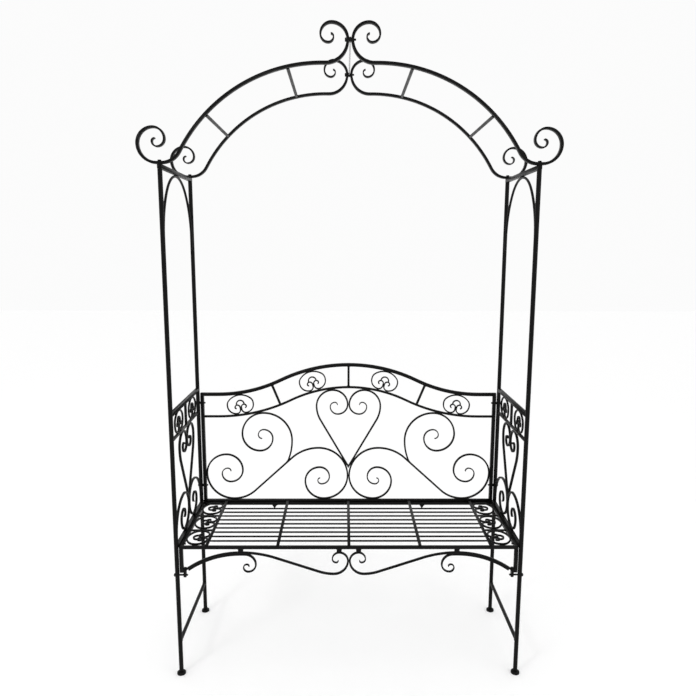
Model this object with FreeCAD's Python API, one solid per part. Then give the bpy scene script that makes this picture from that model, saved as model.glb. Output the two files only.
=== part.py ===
import FreeCAD, Part
import math
import os

# Garden arch with a bench seat, in millimetres.
# The origin is on the floor, midway between the four posts. +X is the viewer's
# right, +Y points to the back, +Z is up. The seat's open front faces -Y.

# Frame
leg_spacing = 1100.0        # between post axes, side to side
leg_depth = 360.0           # between post axes, front to back
post_diameter = 14.0
post_wall = 1.5
post_height = 1611.0        # floor to the top of a post
foot_diameter = 28.0
foot_thickness = 8.0
foot_bevel = 2.5
foot_spigot = 22.0          # length inside the post
spigot_clearance = 0.2      # on the radius
crossbar_size = 12.0        # square bar on top of the posts
crossbar_overhang = 7.0     # past the post axis, front and back
stretcher_diameter = 12.0
stretcher_height = 116.0    # floor to its axis

# Hoop under each crossbar
hoop_diameter = 8.0
hoop_crown_radius = 150.0
hoop_crown_angle = 45.0     # degrees of crown on each side of the middle
hoop_leg = 35.0             # straight end lying on the post

# Arms and side panels
arm_height = 875.0          # floor to the arm rail's axis
arm_size = 12.0
rail_gap = 83.0             # from each upper rail's axis to the lower rail's axis
lower_rail_size = 8.0
divider_size = 8.0

# Back panel
panel_gap = 3.0             # between a rear post and the back panel
panel_size = 12.0           # square bar of its outer frame
back_end_height = 857.0     # floor to the top rail's axis at its ends
back_rise = 110.0           # from there up to the middle of the hump
back_flat = 53.0            # level length at each end, inside the upright
back_dip_share = 0.48       # part of each slope that curves upward

# Scrollwork
scroll_thickness = 6.0
scroll_width = 8.0
scroll_tip = 3.0            # thickness at the end of a scroll
scroll_taper = 150.0        # length over which it thins
ring_wire = 4.5
ring_width = 6.0
ring_fit = 0.3              # left under a ring, so that it clears a curved rail
ring_parting = 0.3          # between a ring's two ends
seat_band = 73.0            # from the seat's end rail to its outer flat bar

# Seat
seat_height = 447.0         # floor to the top of the seat rails
seat_rail_size = 10.0
bearer_width = 12.0
bearer_height = 10.0
bearer_rise = 4.0           # top of the bearer above the seat rails
panel_rise = 7.5            # top of the back's bottom rail above the seat rails
seat_side_gap = 2.0         # between a post and the seat
slat_diameter = 6.0
slat_count = 9
first_slat = 40.0           # from the front rail's axis
slat_pitch = 32.0
bar_count = 5
bar_width = 10.0
bar_thickness = 5.0
end_bar_size = 8.0
end_bar_thickness = 5.0
lug_width = 18.0
lug_height = 14.0
lug_thickness = 3.0
lug_position = 275.0        # from the middle

# Apron under the seat
apron_thickness = 6.0
apron_taper = 110.0
apron_width = 8.0
apron_drop = 10.0           # between the seat rail and the apron
apron_stud = 16.0           # length of the studs that join them
drop_bar_width = 12.0
drop_bar_tail = 10.0        # below the outer end of the apron
apron_lug_thickness = 8.0
apron_lug_width = 14.0
apron_lug_height = 32.0
apron_lug_end = 17.0        # the lug's foot below the drop bar
apron_bolt_drop = 9.0       # the bolt's axis below the drop bar

# Arch
arch_thickness = 8.0
arch_width = 14.0
arch_tip = 3.5
arch_taper = 190.0
arch_seat = 14.0            # level length on the crossbar
arch_seat_end = 5.8         # from the post axis to the seat's inner end
arch_foot_radius = 60.0
arch_climb = 61.0           # degrees, steepest slope
arch_crown_slope = -1.1     # degrees, slope where the crown scroll begins
arch_throat_radius = 61.5
corner_radii = (53.0, 46.0, 32.0, 22.0, 14.0, 9.0)
crown_radii = (46.0, 31.0, 22.0, 15.0, 8.0)
crown_gap = 6.0             # between the two halves at the middle
rung_diameter = 10.0
rung_shares = (0.324, 0.753)  # of the half span, from the middle
tie_diameter = 5.0
spacer_size = 12.0

# Fasteners
bolt_diameter = 6.0
bolt_clearance = 0.25       # on the radius
head_diameter = 11.0
head_height = 4.0
nut_size = 10.0             # across flats
nut_height = 5.0
insert_length = 14.0
panel_bolt_heights = (510.0, 825.0)
seat_bolt_inset = 20.0      # from the ends of the seat's end rails

# Quarter-turn radii of the scrolls, from the outside in
s_left_radii = (98.0, 73.0, 59.5, 46.0, 31.0, 21.0, 12.0)
s_right_radii = (107.0, 89.0, 68.0, 53.5, 36.0, 29.0, 14.0, 9.0)
s_bend_radii = (117.0, 146.0)   # lower left and upper right of the diagonal
s_run = 316.0                   # between the two spirals' level points
branch_share = 0.88             # place on the diagonal where the branch starts
branch_heading = 66.0           # degrees, its slope where it starts
branch_bend = 205.0
branch_radii = (103.0, 79.5, 64.0, 47.5, 33.0, 20.0, 14.0)
heart_lean = 30.0
heart_bend = 110.0
heart_radii = (61.0, 55.0, 37.0, 28.0, 17.0, 10.0)
arm_heart_lean = 28.0
arm_heart_bend = 110.0
arm_heart_radii = (46.0, 44.0, 30.0, 20.0, 13.0, 8.0)
arm_scroll_bend = 104.0
arm_scroll_radii = (62.0, 59.0, 42.0, 30.0, 20.0, 12.0)
apron_bends = (300.0, 350.0, 148.0)     # hump's outer and inner side, and into the scroll
apron_hump_angle = 35.9         # degrees from the lug to the hump
apron_run = 297.5               # between the hump and the scroll's lowest point
apron_radii = (45.0, 28.0, 22.0, 12.0, 7.0)
curl_start = 8.0                # from the lug to the end of the short bar
curl_lead = 2.5                 # degrees past the hump before the curl begins
curl_radii = (34.0, 25.0, 14.5, 10.5, 7.5)

# Ring as it is drawn before it is scaled to the gap
ring_drawn_height = 69.0
ring_outer = (57.8, 24.8, 3.5, 31.0)    # crown, shoulder, straight side, lower lobe
ring_rise = 7.0                 # straight stretch up the middle
ring_curl = (10.5, 8.0, 5.0)

# Worked out from the sizes above
half_spacing = leg_spacing / 2
half_depth = leg_depth / 2
post_radius = post_diameter / 2
post_inner = half_spacing - post_radius         # inner face of a post, from the middle
side_inner = half_depth - post_radius           # the same, front to back
crossbar_top = post_height + crossbar_size
upright_outer = post_inner - panel_gap
upright_inner = upright_outer - panel_size
seat_outer = post_inner - seat_side_gap
seat_inner = seat_outer - seat_rail_size
seat_bottom = seat_height - seat_rail_size
bearer_top = seat_height + bearer_rise
panel_bottom_top = seat_height + panel_rise     # top of the back's bottom rail
seat_front = -half_depth - seat_rail_size / 2
seat_back = half_depth - panel_size / 2
rail_band = rail_gap - panel_size / 2 - lower_rail_size / 2
outer_bar = seat_inner - seat_band - bar_width / 2
bolt_radius = bolt_diameter / 2


def vector(x, y, z):
    return FreeCAD.Vector(x, y, z)


# ---- plane lines made of straight runs and tangent arcs ----
# A span is (x, y, heading in degrees, length, bend), where bend is one over the
# radius, positive to the left, and zero on a straight run.

def along(span, distance):
    """Place and heading at a distance along a span."""
    x, y, heading, length, bend = span
    start = math.radians(heading)
    if bend == 0:
        return x + distance * math.cos(start), y + distance * math.sin(start), heading
    end = start + distance * bend
    ahead = (math.sin(end) - math.sin(start)) / bend
    aside = (math.cos(start) - math.cos(end)) / bend
    return x + ahead, y + aside, math.degrees(end)


def trace(start, heading, moves):
    """Spans that follow the moves: (length,) runs straight, (radius, turn) bends."""
    spans = []
    x, y = start
    for move in moves:
        if len(move) == 1:
            span = (x, y, heading, move[0], 0.0)
        else:
            radius, turn = move
            span = (x, y, heading, radius * abs(math.radians(turn)), math.copysign(1 / radius, turn))
        spans.append(span)
        x, y, heading = along(span, span[3])
    return spans


def turned_back(spans):
    """The same line, travelled from its end to its start."""
    result = []
    for span in reversed(spans):
        x, y, heading = along(span, span[3])
        result.append((x, y, heading + 180.0, span[3], -span[4]))
    return result


def quarters(radii, side):
    """Quarter turns, one for each radius: side is 1 to the left, -1 to the right."""
    return [(radius, 90.0 * side) for radius in radii]


def samples(spans, step=3.0):
    """Places along the line, close enough together to measure clearances by."""
    places = []
    for span in spans:
        count = max(2, int(span[3] / step))
        places += [along(span, span[3] * index / count)[:2] for index in range(count + 1)]
    return places


def reverse_curve(radius_sum, run, rise):
    """Straight length and turn that join two opposite arcs, level at both ends."""
    across = radius_sum - rise
    length = math.sqrt(run ** 2 + across ** 2 - radius_sum ** 2)
    turn = math.atan2(run, across) - math.atan2(length, radius_sum)
    return length, math.degrees(turn)


def solved(error, low, high):
    """Value between low and high where the rising error passes zero."""
    for _ in range(50):
        middle = (low + high) / 2
        if error(middle) < 0:
            low = middle
        else:
            high = middle
    return (low + high) / 2


# ---- solids ----

def front_plane(depth):
    """Places a drawing's (across, up) on the upright plane y = depth."""
    return lambda u, v, w: vector(u, depth + w, v)


def side_plane(offset):
    """Places a drawing's (across, up) on the upright plane x = offset."""
    return lambda u, v, w: vector(offset + w, u, v)


def level_plane(height):
    """Places a drawing on the level plane z = height."""
    return lambda u, v, w: vector(u, v, height + w)


def even(full):
    """A bar of one thickness."""
    return lambda distance, total: full


def thinned(full, tip, taper, both=False):
    """A bar that thins towards its last end, or towards both."""
    def thickness(distance, total):
        left = total - distance
        if both:
            left = min(left, distance)
        return tip + (full - tip) * min(1.0, left / taper)
    return thickness


def flat_bar(spans, thickness, width, place):
    """Bar bent in one plane: thickness lies in the plane, width across it."""
    total = sum(span[3] for span in spans)
    sides = []
    for side in (1, -1):
        travelled = 0.0
        edges = []
        for span in spans:
            marks = []
            for share in (0.0, 0.5, 1.0):
                distance = share * span[3]
                x, y, heading = along(span, distance)
                half = side * thickness(travelled + distance, total) / 2
                angle = math.radians(heading)
                marks.append((x - half * math.sin(angle), y + half * math.cos(angle)))
            edges.append((marks, span[4]))
            travelled += span[3]
        sides.append(edges)
    points = [[place(u, v, -width / 2) for u, v in marks] for marks, bend in sides[0]]
    back = [[place(u, v, -width / 2) for u, v in marks] for marks, bend in sides[1]]
    outline = []
    for ends, (marks, bend) in zip(points, sides[0]):
        outline.append(plane_edge(ends, bend))
    outline.append(Part.LineSegment(points[-1][2], back[-1][2]).toShape())
    for ends, (marks, bend) in reversed(list(zip(back, sides[1]))):
        outline.append(plane_edge(ends[::-1], bend))
    outline.append(Part.LineSegment(back[0][0], points[0][0]).toShape())
    face = Part.Face(Part.Wire(outline))
    return positive(face.extrude(place(0, 0, width) - place(0, 0, 0)))


def plane_edge(ends, bend):
    if bend == 0:
        return Part.LineSegment(ends[0], ends[2]).toShape()
    return Part.Arc(ends[0], ends[1], ends[2]).toShape()


def positive(solid):
    """A single solid whose faces point outwards."""
    if solid.Volume < 0:
        solid.reverse()
    return solid


def round_bar(spans, diameter, place):
    """Round rod bent in one plane."""
    edges = []
    for span in spans:
        ends = [place(*along(span, span[3] * share)[:2], 0) for share in (0.0, 0.5, 1.0)]
        edges.append(plane_edge(ends, span[4]))
    path = Part.Wire(edges)
    x, y, heading = along(spans[0], 0)
    ahead = along((x, y, heading, 1.0, 0.0), 1.0)
    direction = place(ahead[0], ahead[1], 0) - place(x, y, 0)
    profile = Part.Wire(Part.makeCircle(diameter / 2, place(x, y, 0), direction))
    return positive(Part.Solid(path.makePipeShell([profile], True, True)))


def rod(start, end, diameter):
    """Straight round rod between two places."""
    line = end - start
    return Part.makeCylinder(diameter / 2, line.Length, start, line)


def block(low, high):
    """Box between two corners."""
    size = high - low
    return Part.makeBox(size.x, size.y, size.z, low)


def nut(centre, direction, height):
    """Hexagonal nut or bolt head standing on its centre place."""
    corner = nut_size / math.sqrt(3)
    turn = FreeCAD.Rotation(vector(0, 0, 1), direction)
    points = []
    for index in range(7):
        angle = math.radians(60 * index)
        flat = vector(corner * math.cos(angle), corner * math.sin(angle), 0)
        points.append(centre + turn.multVec(flat))
    face = Part.Face(Part.makePolygon(points))
    return positive(face.extrude(turn.multVec(vector(0, 0, height))))


def button_head(centre, direction):
    """Low domed bolt head standing on its centre place."""
    edge = head_height / 3
    rim = Part.makeCylinder(head_diameter / 2, edge, centre, direction)
    top = centre + direction * edge
    dome = Part.makeCone(head_diameter / 2, head_diameter / 3.5, head_height - edge, top, direction)
    return rim.fuse(dome).removeSplitter()


def mirrored(shape):
    """The same piece on the other side of the object."""
    return shape.mirror(vector(0, 0, 0), vector(1, 0, 0))


def group(solids):
    return Part.makeCompound(solids)


def write(name, shape):
    shape.exportStep("parts/" + name + ".step")


def both_sides(name, left):
    """Writes a piece made for the left and its mirror image."""
    write("left_" + name, left)
    write("right_" + name, mirrored(left))


# ---- side frames ----

def post_bore(side_y):
    """Holes that the bolts need in a left post: back panel at the rear, apron in front."""
    reach = post_diameter
    start = vector(-half_spacing - reach, side_y, 0)
    heights = panel_bolt_heights if side_y > 0 else (apron_bolt_height(),)
    holes = []
    for height in heights:
        low = start + vector(0, 0, height)
        holes.append(rod(low, low + vector(2 * reach, 0, 0), bolt_diameter + 2 * bolt_clearance))
    return holes


def post(side_y):
    """Left post: a round tube that stands on its foot."""
    base = vector(-half_spacing, side_y, foot_thickness)
    length = post_height - foot_thickness
    tube = Part.makeCylinder(post_radius, length, base)
    bore = Part.makeCylinder(post_radius - post_wall, length, base)
    return tube.cut(group([bore] + post_bore(side_y)))


def foot(side_x, side_y):
    """Disc with a bevelled top edge and a spigot that fits inside the post."""
    centre = vector(side_x * half_spacing, side_y * half_depth, 0)
    disc = Part.makeCylinder(foot_diameter / 2, foot_thickness - foot_bevel, centre)
    shoulder = vector(0, 0, foot_thickness - foot_bevel)
    bevel = Part.makeCone(foot_diameter / 2, foot_diameter / 2 - foot_bevel, foot_bevel, centre + shoulder)
    spigot_radius = post_radius - post_wall - spigot_clearance
    spigot = Part.makeCylinder(spigot_radius, foot_thickness + foot_spigot, centre)
    return disc.fuse([bevel, spigot]).removeSplitter()


def insert(side_x, side_y):
    """Threaded plug pressed into the top of a post."""
    base = vector(side_x * half_spacing, side_y * half_depth, post_height - insert_length)
    plug = Part.makeCylinder(post_radius - post_wall, insert_length, base)
    return plug.cut(Part.makeCylinder(bolt_radius, insert_length, base))


def crossbar():
    """Left crossbar on top of the front and rear posts."""
    half = crossbar_size / 2
    reach = half_depth + crossbar_overhang
    low = vector(-half_spacing - half, -reach, post_height)
    bar = block(low, vector(-half_spacing + half, reach, crossbar_top))
    holes = []
    for side_y in (-1, 1):
        base = vector(-half_spacing, side_y * half_depth, post_height)
        holes.append(Part.makeCylinder(bolt_radius + bolt_clearance, crossbar_size, base))
    return bar.cut(group(holes))


def hoop():
    """Left hoop: its crown meets the crossbar and its legs lie along the posts."""
    crown = hoop_crown_angle
    leg_line = side_inner - hoop_diameter / 2
    spread = leg_line - hoop_crown_radius * math.sin(math.radians(crown))
    shoulder_radius = spread / (1 - math.sin(math.radians(crown)))
    top = (0.0, post_height - hoop_diameter / 2)
    moves = [(hoop_crown_radius, -crown), (shoulder_radius, crown - 90.0), (hoop_leg,)]
    back_half = trace(top, 0.0, moves)
    front_half = trace(top, 180.0, [(move[0], -move[1]) if len(move) == 2 else move for move in moves])
    return round_bar(turned_back(front_half) + back_half, hoop_diameter, side_plane(-half_spacing))


def coped(shape):
    """The shape with its ends shaped to the left front and rear posts."""
    cutters = []
    for side_y in (-half_depth, half_depth):
        cutters.append(Part.makeCylinder(post_radius, post_height, vector(-half_spacing, side_y, 0)))
    return shape.cut(group(cutters))


def side_bar(height, size):
    """Square bar between the left front and rear posts."""
    half = size / 2
    low = vector(-half_spacing - half, -half_depth, height - half)
    return coped(block(low, vector(-half_spacing + half, half_depth, height + half)))


def seat_bearer():
    """Left bearer that carries the end of the seat, level with the seat's bars."""
    low = vector(-seat_outer - bearer_width, -half_depth, bearer_top - bearer_height)
    high = vector(-seat_outer, half_depth, bearer_top)
    return coped(block(low, high)).cut(group(seat_bolt_holes()))


def leg_stretcher():
    start = vector(-half_spacing, -half_depth, stretcher_height)
    return coped(rod(start, vector(-half_spacing, half_depth, stretcher_height), stretcher_diameter))


def arm_divider():
    """Left upright bar in the middle of the band under the arm."""
    half = divider_size / 2
    low = vector(-half_spacing - half, -half, arm_height - rail_gap + lower_rail_size / 2)
    return block(low, vector(-half_spacing + half, half, arm_height - arm_size / 2))


def ring_parts(band, centre, tilt, place):
    """Wire ring that fills a band: its ends curl up in its middle, under a small cap."""
    height = band - ring_fit - ring_wire
    scale = height / ring_drawn_height
    crown, shoulder, side, lobe = [scale * size for size in ring_outer]
    rise = scale * ring_rise
    inward = crown * math.sin(math.pi / 4) + shoulder * (1 - math.sin(math.pi / 4))
    moves = [(crown, -45.0), (shoulder, -45.0), (side,), (lobe, -90.0)]
    moves += [(inward - lobe - (ring_wire + ring_parting) / 2, -90.0), (rise,)]
    moves += quarters([scale * curl for curl in ring_curl], -1)
    right = trace((0.0, (height + ring_fit) / 2), 0.0, moves)
    end_x, end_y, end_heading = along(right[-1], right[-1][3])
    ring = trace((-end_x, end_y), -end_heading, moves[::-1] + moves)
    curl_top = max(place[1] for place in samples(ring[-2:], 1.0))
    cap_radius = scale * ring_curl[0] + ring_parting / 2 + ring_wire * 3 / 4
    cap = trace((-cap_radius, curl_top + ring_wire / 2), 90.0, quarters((cap_radius, cap_radius), -1))
    parts = []
    for line in (ring, cap):
        parts.append(flat_bar(moved(line, centre, tilt), even(ring_wire), ring_width, place))
    return parts


def moved(spans, centre, tilt):
    """Spans turned by tilt about the origin, then shifted to centre."""
    angle = math.radians(tilt)
    result = []
    for x, y, heading, length, bend in spans:
        across = centre[0] + x * math.cos(angle) - y * math.sin(angle)
        up = centre[1] + x * math.sin(angle) + y * math.cos(angle)
        result.append((across, up, heading + tilt, length, bend))
    return result


def arm_rings():
    """The two rings in the left arm's band, one on each side of the divider."""
    middle = (divider_size / 2 + side_inner) / 2
    height = arm_height - arm_size / 2 - rail_band / 2
    parts = []
    for side_y in (-1, 1):
        parts += ring_parts(rail_band, (side_y * middle, height), 0.0, side_plane(-half_spacing))
    return parts


def heart_half(scale, lean, bend, radii, foot_height):
    """Near half of a heart: it leans away from the middle, loops over and curls in."""
    half = scroll_thickness / 2
    angle = math.radians(lean)
    reach = scale * (radii[0] + radii[1] - bend * (1 - math.cos(angle)))
    straight = (reach + half * (1 + math.cos(angle))) / math.sin(angle)
    start = (half * math.cos(angle), foot_height + half * math.sin(angle))
    moves = [(straight,), (scale * bend, -lean)]
    moves += quarters([scale * radius for radius in radii], -1)
    return trace(start, 90.0 + lean, moves)


def heart_foot(radius, height, lean):
    """Height where a leaning bar that rests on a spiral reaches the middle."""
    outer = radius + scroll_thickness / 2
    return height + outer * math.tan(math.radians(lean / 2))


def scroll_bar(spans, place, both=False):
    """Scroll that thins towards its tip, mitred where it would pass the middle."""
    taper = thinned(scroll_thickness, scroll_tip, scroll_taper, both)
    bar = flat_bar(spans, taper, scroll_width, place)
    beyond = block(place(0, 0, -scroll_width), place(scroll_width, back_end_height, scroll_width))
    return bar.cut(beyond).Solids[0]


def arm_scale():
    """Size of the arm's spirals, so that each pair fills the side between the posts."""
    return (side_inner - scroll_thickness) / (arm_scroll_bend + arm_scroll_radii[0])


def arm_scroll():
    """Near spiral of a side panel: it climbs the post, loops over and rests on the bearer."""
    scale = arm_scale()
    radii = [scale * radius for radius in arm_scroll_radii]
    half = scroll_thickness / 2
    tail = half + radii[0] + radii[1] - scale * arm_scroll_bend
    start = (-side_inner + half, bearer_top)
    moves = [(tail,), (scale * arm_scroll_bend, -90.0)] + quarters(radii, -1)
    return trace(start, 90.0, moves)


def arm_heart():
    """Near half of the heart in a side panel, from the spirals up to the lower rail."""
    half = scroll_thickness / 2
    radius = arm_scale() * arm_scroll_radii[0]
    contact = bearer_top + half + arm_scale() * arm_scroll_radii[1]
    foot_height = heart_foot(radius, contact, arm_heart_lean)
    ceiling = arm_height - rail_gap - lower_rail_size / 2 - half

    def drawn(scale):
        return heart_half(scale, arm_heart_lean, arm_heart_bend, arm_heart_radii, foot_height)

    def overshoot(scale):
        return max(place[1] for place in samples(drawn(scale), 1.0)) - ceiling
    return drawn(solved(overshoot, 0.3, 3.0))


def side_pair(spans):
    """A side panel's front piece and its mirror image at the rear."""
    front = scroll_bar(spans, side_plane(-half_spacing))
    return group([front, front.mirror(vector(0, 0, 0), vector(0, 1, 0))])


# ---- back panel ----

def hump():
    """Turn and radii of the top rail's slope: first the dip, then the hump."""
    run = upright_inner - back_flat
    turn = 2 * math.atan2(back_rise, run)
    dip_radius = back_dip_share * run / math.sin(turn)
    hump_radius = (1 - back_dip_share) * run / math.sin(turn)
    return math.degrees(turn), dip_radius, hump_radius


def rail_line(below):
    """Left half of a line parallel to the top rail's axis, from the left to the middle."""
    turn, dip_radius, hump_radius = hump()
    start = (-upright_inner, back_end_height - below)
    return trace(start, 0.0, [(back_flat,), (dip_radius + below, turn), (hump_radius - below, -turn)])


def full_line(half_line):
    """A left half line continued through the middle to the right end."""
    mirror = []
    for x, y, heading, length, bend in turned_back(half_line):
        mirror.append((-x, y, 180.0 - heading, length, -bend))
    return half_line + mirror


def depth_under_rail(x, z):
    """Distance of a place below the top rail's axis, square to the rail."""
    turn, dip_radius, hump_radius = hump()
    away = abs(x)
    flat_end = upright_inner - back_flat
    peak = back_end_height + back_rise
    centre = peak - hump_radius
    if math.degrees(math.atan2(away, z - centre)) <= turn:
        return hump_radius - math.hypot(away, z - centre)
    if away > flat_end:
        return back_end_height - z
    return math.hypot(flat_end - away, back_end_height + dip_radius - z) - dip_radius


def place_under_rail(share, below):
    """Place and slope on a line parallel to the top rail, share of the way to the middle."""
    line = rail_line(below)
    target = -upright_inner * (1 - share)
    for span in line:
        if along(span, span[3])[0] >= target - 1e-6:
            distance = solved(lambda d: along(span, d)[0] - target, 0.0, span[3])
            return along(span, distance)
    return along(line[-1], line[-1][3])


def top_rail():
    """Top rail of the back, carried over both uprights."""
    line = rail_line(0.0)
    x, y, heading, length, bend = line[0]
    line[0] = (x - panel_size, y, heading, length + panel_size, bend)
    return flat_bar(full_line(line), even(panel_size), panel_size, front_plane(half_depth))


def second_rail():
    line = full_line(rail_line(rail_gap))
    return flat_bar(line, even(lower_rail_size), lower_rail_size, front_plane(half_depth))


def bottom_rail():
    low = vector(-upright_inner, seat_back, panel_bottom_top - panel_size)
    return block(low, vector(upright_inner, half_depth + panel_size / 2, panel_bottom_top))


def upright():
    """Left upright of the back panel."""
    low = vector(-upright_outer, seat_back, panel_bottom_top - panel_size)
    top = back_end_height - panel_size / 2
    bar = block(low, vector(-upright_inner, half_depth + panel_size / 2, top))
    holes = []
    for height in panel_bolt_heights:
        start = vector(-upright_outer, half_depth, height)
        reach = vector(panel_size, 0, 0)
        holes.append(rod(start, start + reach, bolt_diameter + 2 * bolt_clearance))
    return bar.cut(group(holes))


def back_dividers():
    """Short bars square to the rails: one in the middle and one half way to each side."""
    top = panel_size / 2
    bottom = rail_gap - lower_rail_size / 2
    solids = []
    for share in (0.5, 1.0):
        x, y, slope = place_under_rail(share, (top + bottom) / 2)
        line = trace((0.0, (bottom - top) / 2), -90.0, [(bottom - top,)])
        bar = flat_bar(moved(line, (x, y), slope), even(divider_size), divider_size, front_plane(half_depth))
        solids.append(bar)
    return [solids[0], solids[1], mirrored(solids[0])]


def back_rings():
    """Four rings, one in the middle of each bay between the dividers."""
    left = []
    for share in (0.25, 0.75):
        below = panel_size / 2 + rail_band / 2
        x, y, slope = place_under_rail(share, below)
        left += ring_parts(rail_band, (x, y), slope, front_plane(half_depth))
    return left + [mirrored(part) for part in left]


def s_scroll():
    """Left S scroll: it fills the back from the upright to the middle, on the bottom rail."""
    half = scroll_thickness / 2
    natural = s_left_radii[0] + s_run + s_right_radii[0]
    scale = (upright_inner - scroll_thickness) / natural
    rise = s_right_radii[0] + s_right_radii[1]
    straight, turn = reverse_curve(sum(s_bend_radii), s_run, rise)
    start = (-upright_inner + half + scale * s_left_radii[0], panel_bottom_top + half)
    left = trace(start, 180.0, quarters([scale * radius for radius in s_left_radii], -1))
    moves = [(scale * s_bend_radii[0], turn), (scale * straight,), (scale * s_bend_radii[1], -turn)]
    moves += quarters([scale * radius for radius in s_right_radii], -1)
    right = trace(start, 0.0, moves)
    return turned_back(left) + right, right, scale


def branch_scroll():
    """Left branch: it leaves the S scroll's diagonal and loops up under the second rail."""
    diagonal = s_scroll()[1][1]
    start = along(diagonal, branch_share * diagonal[3])[:2]

    def drawn(scale):
        moves = [(scale * branch_bend, 90.0 - branch_heading)]
        moves += quarters([scale * radius for radius in branch_radii], 1)
        return trace(start, branch_heading, moves)
    return drawn(scale_under_rail(drawn))


def branch_bar(s_bar):
    """Left branch with its end shaped to the S scroll it is welded to."""
    pieces = scroll_bar(branch_scroll(), front_plane(half_depth)).cut(s_bar).Solids
    return max(pieces, key=lambda piece: piece.Volume)


def scale_under_rail(drawn):
    """Scale at which a scroll just touches the underside of the second rail."""
    ceiling = rail_gap + lower_rail_size / 2 + scroll_thickness / 2

    def overshoot(scale):
        return ceiling - min(depth_under_rail(*place) for place in samples(drawn(scale), 1.0))
    return solved(overshoot, 0.2, 3.0)


def back_heart():
    """Left half of the heart in the middle of the back."""
    scale = s_scroll()[2]
    contact = panel_bottom_top + scroll_thickness / 2 + scale * s_right_radii[1]
    foot_height = heart_foot(scale * s_right_radii[0], contact, heart_lean)

    def drawn(size):
        return heart_half(size, heart_lean, heart_bend, heart_radii, foot_height)
    return drawn(scale_under_rail(drawn))


# ---- seat ----

def seat_rail(low_y):
    """Long rail of the seat frame, front or rear."""
    low = vector(-seat_outer, low_y, seat_bottom)
    return block(low, vector(seat_outer, low_y + seat_rail_size, seat_height))


def seat_bolt_places():
    """Front-to-back places of the bolts that hold the seat to a bearer."""
    inset = seat_rail_size + seat_bolt_inset
    return (seat_front + inset, seat_back - inset)


def seat_bolt_holes():
    height = seat_height - seat_rail_size / 2
    holes = []
    for y in seat_bolt_places():
        start = vector(-seat_outer - bearer_width, y, height)
        end = vector(-seat_inner, y, height)
        holes.append(rod(start, end, bolt_diameter + 2 * bolt_clearance))
    return holes


def seat_end_rail():
    """Left end rail of the seat frame, between the front and rear rails."""
    low = vector(-seat_outer, seat_front + seat_rail_size, seat_bottom)
    high = vector(-seat_inner, seat_back - seat_rail_size, seat_height)
    return block(low, high).cut(group(seat_bolt_holes()))


def seat_bars():
    """Flat bars from the front rail to the rear rail, evenly spaced."""
    pitch = 2 * outer_bar / (bar_count - 1)
    bars = []
    for index in range(bar_count):
        x = -outer_bar + index * pitch
        low = vector(x - bar_width / 2, seat_front, seat_height)
        bars.append(block(low, vector(x + bar_width / 2, seat_back, seat_height + bar_thickness)))
    return bars


def slats():
    """Round slats under the flat bars, from the left outer bar to the right one."""
    height = seat_height - slat_diameter / 2
    rods = []
    for index in range(slat_count):
        y = seat_front + seat_rail_size / 2 + first_slat + index * slat_pitch
        rods.append(rod(vector(-outer_bar, y, height), vector(outer_bar, y, height), slat_diameter))
    return rods


def end_bay():
    """Length and pitch of the three ring bays at each end of the seat."""
    inside = seat_back - seat_front - 2 * seat_rail_size
    bay = (inside - 2 * end_bar_size) / 3
    return bay, bay + end_bar_size


def end_bars():
    """Two short bars at each end of the seat, from the end rail to under the outer bar."""
    bay, pitch = end_bay()
    bars = []
    for index in range(2):
        y = seat_front + seat_rail_size + bay + index * pitch
        low = vector(-seat_inner, y, seat_height - end_bar_thickness)
        bars.append(block(low, vector(-outer_bar, y + end_bar_size, seat_height)))
    return bars + [mirrored(bar) for bar in bars]


def seat_rings():
    """Three rings at each end of the seat, open towards the middle."""
    bay, pitch = end_bay()
    x = -seat_inner + seat_band / 2
    left = []
    for index in range(3):
        y = seat_front + seat_rail_size + bay / 2 + index * pitch
        left += ring_parts(seat_band, (x, y), 90.0, level_plane(seat_height))
    return left + [mirrored(part) for part in left]


def seat_lugs():
    """Pointed lugs under the rear rail that hook on the back's bottom rail."""
    lugs = []
    for x in (-lug_position, lug_position):
        y = seat_back - seat_rail_size
        corners = [
            vector(x - lug_width / 2, y, seat_bottom),
            vector(x + lug_width / 2, y, seat_bottom),
            vector(x, y, seat_bottom - lug_height),
            vector(x - lug_width / 2, y, seat_bottom),
        ]
        face = Part.Face(Part.makePolygon(corners))
        lugs.append(positive(face.extrude(vector(0, lug_thickness, 0))))
    return lugs


# ---- apron ----

trim_angle = 2.0            # degrees of extra length, cut off square at the lug


def apron_frame():
    """Scale of the apron, its level height and the place of its left end."""
    end = seat_outer - drop_bar_width - apron_lug_thickness
    natural = apron_bends[0] * math.sin(math.radians(apron_hump_angle)) + apron_run + apron_radii[0]
    scale = (end - apron_thickness / 2) / natural
    level = seat_bottom - apron_drop - apron_thickness / 2
    return scale, level, end


def apron_hump():
    scale, level, end = apron_frame()
    return -end + scale * apron_bends[0] * math.sin(math.radians(apron_hump_angle)), level


def apron_scroll():
    """Left long bar of the apron: over the hump, down and round to the middle."""
    scale, level, end = apron_frame()
    rise = apron_radii[0] + apron_radii[1]
    straight, turn = reverse_curve(apron_bends[1] + apron_bends[2], apron_run, rise)
    left = trace(apron_hump(), 180.0, [(scale * apron_bends[0], apron_hump_angle + trim_angle)])
    moves = [(scale * apron_bends[1], -turn), (scale * straight,), (scale * apron_bends[2], turn)]
    moves += quarters([scale * radius for radius in apron_radii], 1)
    return turned_back(left) + trace(apron_hump(), 0.0, moves)


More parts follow.
